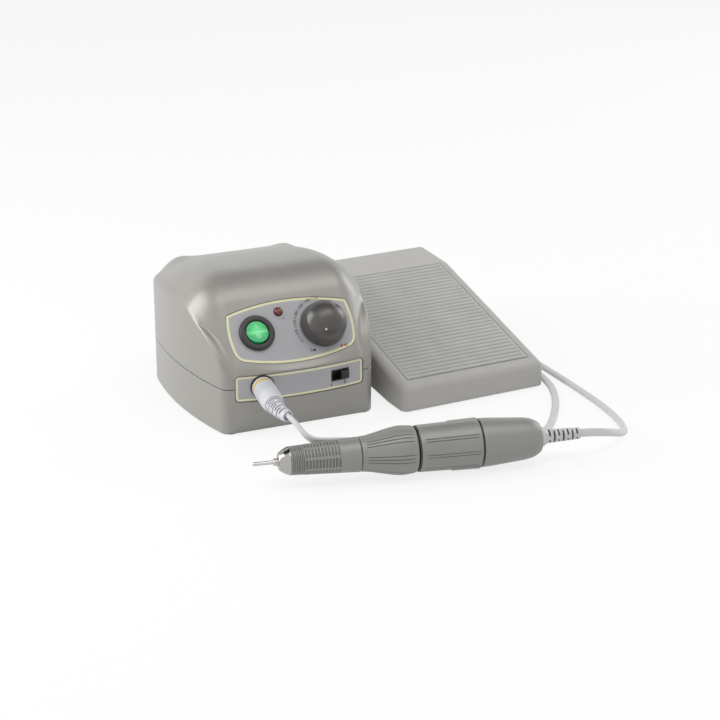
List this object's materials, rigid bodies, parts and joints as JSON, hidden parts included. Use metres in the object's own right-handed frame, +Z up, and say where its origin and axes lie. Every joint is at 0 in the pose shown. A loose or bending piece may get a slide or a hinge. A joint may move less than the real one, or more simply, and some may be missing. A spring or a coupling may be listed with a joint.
{
  "type": "dental micromotor",
  "caption": "Desktop dental micromotor: domed control unit with speed knob and power rocker, corded straight handpiece with twist chuck, and a ribbed foot pedal.",
  "frame": {"origin": "centre of the footprint of the control unit, pedal and handpiece, on the surface that they stand on", "axes": "+Z up, +Y from the control panel towards the rear of the unit, +X from the unit towards the pedal"},
  "size_m": [0.2531, 0.3647, 0.0908],
  "materials": {
    "casing": "warm grey satin moulded plastic",
    "base_casing": "warm grey satin moulded plastic",
    "panel_print": "pale grey printed film",
    "black_plastic": "black moulded plastic",
    "knob_grey": "dark warm grey, satin",
    "knob_dot": "white",
    "rocker_green": "translucent green",
    "lamp_red": "dark red",
    "rubber_black": "matte",
    "plug_white": "off-white",
    "plug_band": "gold-yellow",
    "relief_grey": "light grey",
    "cord_grey": "light grey sheath",
    "socket_metal": "plated",
    "hand_metal": "mid grey satin anodised",
    "nose_steel": "polished",
    "tool_steel": "ground",
    "bearing_steel": "polished",
    "magnet": "matte",
    "lamination": "matte",
    "copper": "enamelled wire and copper bars",
    "brass": "plain",
    "carbon": "carbon",
    "board_green": "solder mask",
    "sink_aluminium": "extruded",
    "capacitor": "sleeve",
    "screw_steel": "zinc plated",
    "spring_steel": "drawn wire",
    "pedal_grey": "warm light grey",
    "pedal_mat": "ribbed",
    "pedal_plate": "powder coat"
  },
  "bodies": {
    "root": {"unit_upper_casing": "casing", "unit_lower_casing": "base_casing", "unit_feet": "rubber_black", "unit_screws": "screw_steel", "upper_panel": "panel_print", "lower_panel": "panel_print", "power_switch_bezel": "black_plastic", "power_switch_terminals": "brass", "potentiometer": "screw_steel", "indicator_lamp": "lamp_red", "motor_socket": "black_plastic", "motor_plug": "plug_white", "plug_band": "plug_band", "plug_strain_relief": "plug_white", "direction_switch": "black_plastic", "control_board": "board_green", "filter_capacitors": "capacitor", "heat_sink": "sink_aluminium", "power_transistor": "black_plastic", "transformer_core": "lamination", "transformer_winding": "copper", "mains_cord_gland": "black_plastic", "fuse_holder": "black_plastic", "pedal_jack": "socket_metal", "nose_cone": "nose_steel", "front_grip": "hand_metal", "inner_tube": "nose_steel", "sleeve_ring": "black_plastic", "motor_case": "hand_metal", "case_ring": "black_plastic", "rear_cap": "hand_metal", "handpiece_strain_relief": "relief_grey", "shaft_bearings": "bearing_steel", "motor_magnet": "magnet", "motor_brushes": "carbon", "motor_end_plate": "black_plastic", "pedal_base": "pedal_plate", "pedal_feet": "rubber_black", "pedal_hinge_pin": "screw_steel", "pedal_spring": "spring_steel", "foot_switch": "black_plastic", "pedal_cord_gland": "black_plastic", "motor_cord_lead": "cord_grey", "motor_cord_coil": "cord_grey", "motor_cord_tail": "cord_grey"},
    "rocker": {"power_rocker": "rocker_green"},
    "knob": {"speed_knob": "knob_grey", "knob_pointer_dot": "knob_dot", "speed_knob_shaft": "sink_aluminium"},
    "slider": {"direction_slider": "black_plastic"},
    "sleeve": {"chuck_sleeve": "hand_metal"},
    "rotor": {"mandrel": "tool_steel", "collet": "tool_steel", "spindle": "tool_steel", "motor_shaft": "tool_steel", "armature": "copper", "commutator": "copper"},
    "treadle": {"pedal_treadle": "pedal_grey", "pedal_mat": "pedal_mat"},
    "plunger": {"foot_switch_plunger": "black_plastic"}
  },
  "joints": [
    {"name": "power_rocker_tilt", "type": "hinge", "parent": "root", "child": "rocker", "pos_m": [-0.0777, -0.00769, 0.06064], "axis": [1, 0, 0], "range_deg": [0, 18]},
    {"name": "speed_knob_turn", "type": "hinge", "parent": "root", "child": "knob", "pos_m": [-0.0338, -0.00727, 0.05955], "axis": [0, -0.788, 0.6157], "range_deg": [-298, 0]},
    {"name": "direction_slide", "type": "slide", "parent": "root", "child": "slider", "axis": [0.9909, 0.1345, 0], "range_m": [-0.0054, 0]},
    {"name": "chuck_sleeve_turn", "type": "hinge", "parent": "root", "child": "sleeve", "pos_m": [-0.11798, -0.09797, 0.0155], "axis": [0.9839, -0.1788, 0], "range_deg": [0, 60]},
    {"name": "rotor_spin", "type": "hinge", "parent": "root", "child": "rotor", "pos_m": [-0.11798, -0.09797, 0.0155], "axis": [0.9839, -0.1788, 0], "continuous": true},
    {"name": "treadle_press", "type": "hinge", "parent": "root", "child": "treadle", "pos_m": [0.06355, -0.01542, 0.0085], "axis": [0.998, 0.0628, 0], "range_deg": [-4.5, 0], "stiffness_Nm_per_rad": 6, "springref_deg": 6.88, "deforming": ["pedal_spring"]},
    {"name": "plunger_slide", "type": "slide", "parent": "root", "child": "plunger", "axis": [0, 0, 1], "range_m": [-0.00665, 0]}
  ],
  "couplings": [
    {"joint": "plunger_slide", "follows": "treadle_press", "m_per_rad": 0.084}
  ]
}
